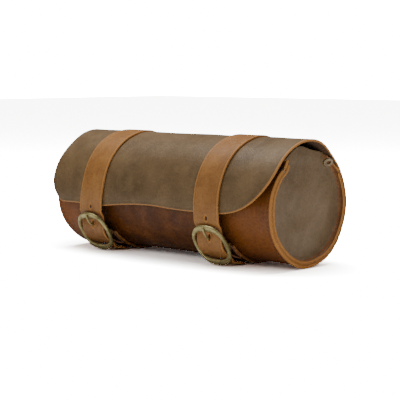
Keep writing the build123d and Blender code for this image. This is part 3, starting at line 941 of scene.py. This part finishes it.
def belt_piece(name, ribbon, first, last, ends, holes=(), folds=(), seed=0.0, on_hide=False):
    """One length of a belt as a leather sheet, with a rounded end where the tail is.

    One that lies on the hide is as thick as the room between its outer face and the hide.
    """
    rows = strip_rows(first, last, 1.7, ends, holes, folds)
    share = strip_columns(STRAP_WIDTH, SPARE_HOLE_SIZE[1]) / (STRAP_WIDTH / 2)
    place, share = np.meshgrid(rows, share, indexing="ij")
    half = np.full_like(place, STRAP_WIDTH / 2)
    if ends[0]:
        tip = np.clip((place - first) / 9.0, 0, 1)
        half = 6 + (STRAP_WIDTH / 2 - 6) * np.sqrt(1 - (1 - tip) ** 2)
    place, sideways, keep, hole_gap = cut_holes(place, share * half, holes)
    edge = np.minimum(half - np.abs(sideways), hole_gap)
    if ends[0]:
        edge = np.minimum(edge, place - first)
    if ends[1]:
        edge = np.minimum(edge, last - place)
    points, outward = ribbon.face(place, sideways)
    wave = dents(points, (26.0, seed, 0.3), (9.0, seed + 4, 0.07))
    swell = (wave - 0.1) * rise(points[..., 2], 5, 20)
    for centre in folds:
        line = place - centre - 0.9 * np.sin(sideways / 6 + centre) - 0.5 * np.sin(sideways / 2.3)
        swell = swell - 0.5 * hump(line, 0.0, 0.8) * fall(np.abs(sideways), 15, 3)
    points = points + outward * swell[..., None]
    thickness = np.full_like(place, STRAP_THICKNESS)
    if on_hide:
        y, up = points[..., 1] - AXIS_Y, points[..., 2] - AXIS_Z
        turn = np.degrees(np.arctan2(-y, up))
        below = hide_radius(points[..., 0], np.where(np.abs(turn) < 90, turn, -90.0))
        thickness = np.clip(np.hypot(y, up) - below - 0.1, 1.3, 3.0)
    return leather_sheet(
        name, points, outward, np.maximum(edge, 0), [strap_leather, flesh_strap], thickness=thickness,
        rounding=0.6, groove=(2.4, 0.25), keep=keep,
    )


def make_belt(side):
    """The strap of one side in three lengths: the free strap, the fold over the hinge, and the back."""
    ribbon = belt_curve(side)
    holes = [(ribbon.place_on_buckle(place), *SPARE_HOLE_SIZE) for place in SPARE_HOLES]
    holes.append((ribbon.place_on_buckle(PRONG_HOLE), *PRONG_HOLE_SIZE))
    folds = [ribbon.place_at_angle(angle) for angle in WRINKLE_ANGLES]
    strap_top, back_top = ribbon.place_at_angle(STRAP_BREAK), ribbon.place_at_angle(BACK_BREAK)
    seed = {"left": 3.3, "right": 7.7}[side]
    upper = belt_piece(f"belt_{side}", ribbon, 0.0, strap_top, (True, False), holes, folds, seed)
    fold = belt_piece(f"belt_fold_{side}", ribbon, strap_top, back_top, (False, False), seed=seed)
    back = belt_piece(
        f"belt_back_{side}", ribbon, back_top, ribbon.total, (False, True), seed=seed, on_hide=True
    )
    start = polar(0.0, FLAP_RADIUS, STRAP_BREAK + 0.5) * MM
    end = polar(0.0, FLAP_RADIUS, -4.0) * MM
    end[2] = start[2]
    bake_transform(upper)
    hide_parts(f"strap_{side}")
    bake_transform(fold)
    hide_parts(f"strap_anchor_{side}")
    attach(back, "root")
    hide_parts(f"lower_strap_{side}")


# The loop's way from under the lower strap to the bar, as (radius, angle), and round it and back, as
# distances along the buckle and out of it
LOOP_TAIL = ((60.15, 148.0), (60.15, 143.0), (60.15, 138.0), (60.15, 133.0), (60.15, 129.5), (61.0, 126.2))
LOOP_ROUND_BAR = (
    (0.0, -6.9), (-2.3, -5.9), (-3.3, -3.6), (-2.3, -1.3), (0.0, -0.45), (3.0, -0.75), (6.0, -1.45),
    (9.0, -2.7), (12.0, -4.2), (15.5, -6.4), (19.0, -9.2), (22.0, -12.2), (25.0, -15.2),
)
PRONG_SLOT_SIZE = (12.0, 5.4)


def make_loop(side):
    """The leather loop that holds the buckle's bar: a folded strip, slotted for the prong."""
    places = [round_place(*place) for place in LOOP_TAIL] + [buckle_place(*place) for place in LOOP_ROUND_BAR]
    ribbon = Ribbon([(STRAP[side]["buckle"], *place) for place in places], buckle_place(*BAR))
    before_bar = np.array(buckle_place(-3.3, BAR_DEPTH))
    nearest = np.linalg.norm(ribbon.points[:, 1:] - before_bar, axis=1).argmin()
    slot = (float(ribbon.length[nearest]) + 0.8, *PRONG_SLOT_SIZE)
    rows = strip_rows(0.0, ribbon.total, 1.2, (True, True), [slot])
    width = STRAP_WIDTH - 0.8
    place, sideways = np.meshgrid(rows, strip_columns(width, slot[2]), indexing="ij")
    place, sideways, keep, hole_gap = cut_holes(place, sideways, [slot])
    edge = np.minimum(np.minimum(place, ribbon.total - place), width / 2 - np.abs(sideways))
    edge = np.maximum(np.minimum(edge, hole_gap), 0)
    points, outward = ribbon.face(place, sideways)
    loop = leather_sheet(
        f"loop_{side}", points, outward, edge, [loop_leather, flesh_strap],
        thickness=1.3 + 0.5 * hump(place, slot[0], 9), rounding=0.5, groove=(2.4, 0.15), keep=keep,
    )
    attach(loop, f"strap_{side}")
    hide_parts(f"buckle_loop_{side}")


for side in STRAP:
    make_belt(side)
    make_loop(side)


# ---------------------------------------------------------------- buckles, rivets and stitches


def power_circle(turns, half_x, half_y, power):
    """Points of a rounded rectangle or oval at the same share of a turn for any size."""
    c, s = np.cos(turns), np.sin(turns)
    reach = (np.abs(c) ** power + np.abs(s) ** power) ** (-1 / power)
    return half_x * c * reach, half_y * s * reach


def full_turn(steps):
    return np.linspace(0, 2 * math.pi, steps + 1)[:-1]


def grid_faces(rows, columns, round_rows, round_columns):
    """Quads between the points of a grid, and over its ends where it closes on itself."""
    faces = []
    for i in range(rows if round_rows else rows - 1):
        for j in range(columns if round_columns else columns - 1):
            here, below = i * columns, (i + 1) % rows * columns
            beside = (j + 1) % columns
            faces.append((here + j, here + beside, below + beside, below + j))
    return faces


def outward_faces(points, faces, inside):
    """The faces, turned over if they look towards the point inside."""
    a, b, c = points[faces[0][0]], points[faces[0][1]], points[faces[0][2]]
    if np.cross(b - a, c - a) @ (a - inside) < 0:
        return [tuple(reversed(face)) for face in faces]
    return faces


def closed_ring(points):
    """The vertices and faces of a ring whose rows of points are its closed sections."""
    vertices = points.reshape(-1, 3)
    faces = [(a, d, c, b) for a, b, c, d in grid_faces(*points.shape[:2], True, True)]
    return vertices, outward_faces(vertices, faces, points[0].mean(axis=0))


def on_buckle(x, along, out):
    """World points in mm from places in the buckle's frame."""
    y, up = buckle_place(along, out)
    return np.stack(np.broadcast_arrays(x, AXIS_Y + y, AXIS_Z + up), axis=-1)


def make_buckle_frame(side):
    """The cast frame: an oval ring with a lug behind it on each side for the bar."""
    turns = full_turn(144)
    outer = np.stack(power_circle(turns, *FRAME_HALF, 2.25))
    inner = np.stack(power_circle(turns, *WINDOW_HALF, 2.7))
    band, height = power_circle(full_turn(18), 1.0, 1.0, 2.4)
    x, along = (outer + inner)[..., None] / 2 + (outer - inner)[..., None] / 2 * band
    lug = np.exp(-((along / 2.7) ** 4)) * np.clip(-height, 0, 1)
    uneven = 0.25 * np.sin(along / 5 + x / 7) * (height > 0)
    out = np.where(height > 0, 1.95, 1.6) * height + uneven - 4.0 * lug
    ring = closed_ring(on_buckle(STRAP[side]["buckle"] + x, along, out))
    return mesh_object(f"frame_{side}", *ring, [brass])


def tube(line, radii, across, sides=12):
    """A closed round rod along a line, with its own radius at each point."""
    line = np.asarray(line, dtype=float)
    ahead = unit(np.gradient(line, axis=0))
    first = unit(np.cross(ahead, np.asarray(across, dtype=float)))
    second = np.cross(ahead, first)
    turns = full_turn(sides)[:, None]
    ring = first[:, None] * np.cos(turns) + second[:, None] * np.sin(turns)
    points = (line[:, None] + ring * np.asarray(radii)[:, None, None]).reshape(-1, 3)
    faces = grid_faces(len(line), sides, False, True)
    faces.append(tuple(range(sides))[::-1])
    faces.append(tuple((len(line) - 1) * sides + j for j in range(sides)))
    return points, outward_faces(points, faces, line[0] + ahead[0] * 1e-3)


def rounded_rod(start, end, radius, across, sides=12, cap=0.8):
    """A rod between two points whose ends are rounded off."""
    start, end = np.asarray(start, dtype=float), np.asarray(end, dtype=float)
    length = np.linalg.norm(end - start)
    share = np.array([0.0, 0.1, 0.3, 0.6, 1.0])
    places = np.concatenate([share * radius * cap, length - share[::-1] * radius * cap])
    swell = np.sqrt(1 - (1 - share) ** 2)
    radii = radius * np.concatenate([swell, swell[::-1]])
    line = start + (end - start) * (places / length)[:, None]
    return tube(line, np.maximum(radii, radius * 0.12), across, sides)


def make_bar(side):
    """The round bar across the back of the frame."""
    x = STRAP[side]["buckle"]
    half = FRAME_HALF[0] - 0.6
    ends = (on_buckle(x + end, *BAR) for end in (-half, half))
    rod = rounded_rod(*ends, BAR_RADIUS - 0.02, (0, 0, 1), 16)
    return mesh_object(f"bar_{side}", *rod, [brass])


# The middle line of the prong's tongue, as distances along the buckle and out of it, and its radii
# at shares of its length
TONGUE = (
    (-1.2, -1.7), (-3.2, -1.9), (-5.2, -1.7), (-7.2, -0.7), (-9.0, 0.9), (-11.0, 2.1), (-14.0, 2.95),
    (-17.5, 3.25), (-21.0, 3.3), (-22.8, 3.05),
)
TONGUE_RADII = ((0, 1.2), (0.3, 1.2), (0.8, 1.0), (0.93, 0.9), (0.98, 0.6), (1.0, 0.2))
PRONG_RING_RADIUS = 2.16


def make_prong(side):
    """The prong: a rolled ring on the bar and a tapered tongue that lies on the frame."""
    x = STRAP[side]["buckle"]
    across, depth = power_circle(full_turn(12), 2.1, 0.68, 3.0)
    radius = PRONG_RING_RADIUS + depth
    turns = full_turn(36)[:, None]
    ring = closed_ring(on_buckle(x + across, np.cos(turns) * radius, BAR_DEPTH + np.sin(turns) * radius))
    line, length = smooth_curve([on_buckle(x, *place) for place in TONGUE], 0.5)
    radii = np.interp(length / length[-1], *zip(*TONGUE_RADII))
    return mesh_object(f"tongue_{side}", *joined([ring, tube(line, radii, (1, 0, 0), 14)]), [brass])


for side in STRAP:
    for piece, node, body in (
        (make_buckle_frame(side), "buckle_frame", "buckle"),
        (make_bar(side), "buckle_bar", "buckle"),
        (make_prong(side), "prong", "prong"),
    ):
        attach(piece, f"{body}_{side}")
        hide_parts(f"{node}_{side}")


def lathe(profile, origin, outward, sides=36):
    """A turned shape: (radius, height) points turned round an axis, closed where the radius is 0."""
    profile = np.asarray(profile, dtype=float)
    outward = unit(np.asarray(outward, dtype=float))
    first = unit(np.cross(outward, (1.0, 0.0, 0.0)))
    second = np.cross(outward, first)
    turns = full_turn(sides)[:, None]
    ring = first * np.cos(turns) + second * np.sin(turns)
    points = origin + ring[:, None] * profile[None, :, :1] + outward * profile[None, :, 1:]
    return points.reshape(-1, 3), grid_faces(sides, len(profile), True, False)


def arc_profile(centre, radius, first, last, count=7):
    turns = np.radians(np.linspace(first, last, count))
    return [(centre[0] + radius * math.cos(t), centre[1] + radius * math.sin(t)) for t in turns]


def radial(x, angle, slope=0.0):
    """The direction out of the barrel's side at an angle, leaning with the flared rim."""
    turn = math.radians(angle)
    return unit(np.array([-slope * np.sign(x), -math.sin(turn), math.cos(turn)]))


def domed_rivet(origin, outward, depth):
    """A rivet with a low dome on each side of the leather."""
    dome = [
        (0.0, 1.25), (0.9, 1.2), (1.9, 1.0), (2.8, 0.65), (3.35, 0.3), (3.5, 0.05), (3.3, -0.1), (1.4, -0.1),
    ]
    under = [(1.4, 0.1), (3.2, 0.1), (3.4, -0.1), (3.1, -0.5), (1.8, -0.9), (0.0, -1.0)]
    under = [(radius, height - depth) for radius, height in under]
    return lathe(dome + under, origin, outward, 28)


def eyelet(origin, outward, depth):
    """A rolled eyelet: a ridged flange on each side and a tube between them, open through."""
    upper = arc_profile((4.3, 0.0), 0.75, -70, 120) + arc_profile((2.75, 0.35), 0.75, 60, 180)
    lower = [(radius, -depth - height) for radius, height in reversed(upper)]
    profile = upper + lower
    return lathe(profile + profile[:1], origin, outward, 40)


def make_rivets():
    """The rivets of the upper and lower strap ends, and the eyelets in the rim seams."""
    upper, lower, rim = [], [], []
    for strap in STRAP.values():
        for x in (strap["top"] - RIVET_OFFSET, strap["top"] + RIVET_OFFSET):
            angle = ANCHOR_RIVET_ANGLE
            origin = polar(x, flap_radius(x, angle) + strap_proud(angle) + 0.1, angle)
            upper.append(domed_rivet(origin, radial(x, angle + ANCHOR_RIVET_LEAN), STRAP_RIVET_DEPTH))
            origin = polar(x, LOWER_OUTER + 0.2, BACK_RIVET_ANGLE)
            lower.append(domed_rivet(origin, radial(x, BACK_RIVET_ANGLE), STRAP_RIVET_DEPTH))
    for direction in (-1, 1):
        x, angle = direction * RIM_RIVET["x"], RIM_RIVET["angle"]
        origin = polar(x, wrap_radius(x, angle) - 0.1, angle)
        rim.append(eyelet(origin, radial(x, angle, 0.17), WRAP_THICKNESS))
        x, angle = direction * BACK_EYELET["x"], BACK_EYELET["angle"]
        outward = -radial(x, angle) + np.array([direction, 0, 0])
        rim.append(eyelet(polar(x, BACK_EYELET["radius"], angle), outward, FLANGE - 0.2))
    for name, parts, body, node in (
        ("strap_rivets", upper, "flap", "strap_anchor_rivets"),
        ("back_rivets", lower, "root", "lower_strap_rivets"),
        ("rim_eyelets", rim, "root", "seam_rivets"),
    ):
        # The rivets and eyelets are made in the darker brass, whose darkness is partly painted shade
        rivets = mesh_object(name, *joined(parts), [dark_brass_painted_shade])
        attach(rivets, body)
        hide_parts(node)


def make_stitches():
    """A row of thread along each rim, through the wrap and the disc's flange."""
    for side, direction in (("left", -1), ("right", 1)):
        x = direction * (RIM_X - STITCH_INSET)
        parts = []
        for angle in np.arange(52.0, 305.0, STITCH_PITCH):
            face = wrap_radius(x, angle)
            for radius in (face - 0.15, face - WRAP_THICKNESS - FLANGE):
                first, last = (polar(x, radius, angle + turn) for turn in (-1.4, 1.4))
                parts.append(rounded_rod(first, last, STITCH_RADIUS, (1, 0, 0), 8, 1.6))
        stitches = mesh_object(f"stitches_{side}", *joined(parts), [thread])
        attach(stitches, "root")


make_rivets()
make_stitches()


# ---------------------------------------------------------------- camera, light and floor


# The camera looks at the barrel's middle, moved by AIM as shares of its distance to the right and up
AZIMUTH = math.radians(43.24)
ELEVATION = math.radians(5.52)
DISTANCE = 1.367
AIM = (0.0031, -0.0027)
LENS = 118.1

# The sky's strength as a light, and as the camera sees it
WORLD_LIGHT = 0.15
BACKDROP = 60.0

# Each soft light's place, size and power
SOFTBOXES = {
    "top_softbox": ((-0.1, 0.12, 1.1), (1.3, 0.8), 18.0),
    "front_softbox": ((-0.5, -1.2, 0.75), (1.0, 0.8), 2.3),
    "right_softbox": ((1.2, -0.45, 0.75), (0.8, 0.8), 2.6),
}
LIT_POINT = (0, 0, 0.06)


def look(eye, aim):
    return (Vector(aim) - Vector(eye)).to_track_quat("-Z", "Y").to_euler()


def add_camera():
    """The photograph's view: round to the right of the front, and a little above."""
    level = math.cos(ELEVATION)
    back = Vector((math.sin(AZIMUTH) * level, -math.cos(AZIMUTH) * level, math.sin(ELEVATION)))
    right = Vector((math.cos(AZIMUTH), math.sin(AZIMUTH), 0))
    up = back.cross(right)
    data = bpy.data.cameras.new("camera")
    data.lens = LENS
    data.sensor_width = 36.0
    camera = bpy.data.objects.new("camera", data)
    camera.location = Vector((0, AXIS_Y * MM, AXIS_Z * MM)) + back * DISTANCE
    aim = camera.location + (-back + AIM[0] * right + AIM[1] * up) * DISTANCE
    camera.rotation_euler = look(camera.location, aim)
    bpy.context.scene.collection.objects.link(camera)
    bpy.context.scene.camera = camera


def add_studio():
    """Soft light from above and the front, and a backdrop that only the camera sees as bright."""
    world = bpy.data.worlds.new("studio")
    world.use_nodes = True
    tree = world.node_tree
    backdrop = tree.nodes["Background"]
    backdrop.inputs["Color"].default_value = (1, 1, 1, 1)
    seen = tree.nodes.new("ShaderNodeLightPath")
    strength = tree.nodes.new("ShaderNodeMapRange")
    strength.inputs["To Min"].default_value = WORLD_LIGHT
    strength.inputs["To Max"].default_value = BACKDROP
    tree.links.new(seen.outputs["Is Camera Ray"], strength.inputs["Value"])
    tree.links.new(strength.outputs["Result"], backdrop.inputs["Strength"])
    bpy.context.scene.world = world
    for name, (place, size, power) in SOFTBOXES.items():
        data = bpy.data.lights.new(name, "AREA")
        data.shape = "RECTANGLE"
        data.size, data.size_y = size
        data.energy = power
        light = bpy.data.objects.new(name, data)
        light.location = place
        light.rotation_euler = look(place, LIT_POINT)
        bpy.context.scene.collection.objects.link(light)


def add_floor():
    """A wide floor, which isn't part of the object."""
    mesh = bpy.data.meshes.new("floor")
    half = 6.0
    corners = [(-half, -half, 0), (half, -half, 0), (half, half, 0), (-half, half, 0)]
    mesh.from_pydata(corners, [], [(0, 1, 2, 3)])
    mesh.materials.append(studio_floor("studio_floor"))
    floor = bpy.data.objects.new("floor", mesh)
    bpy.context.scene.collection.objects.link(floor)


add_camera()
add_studio()
add_floor()
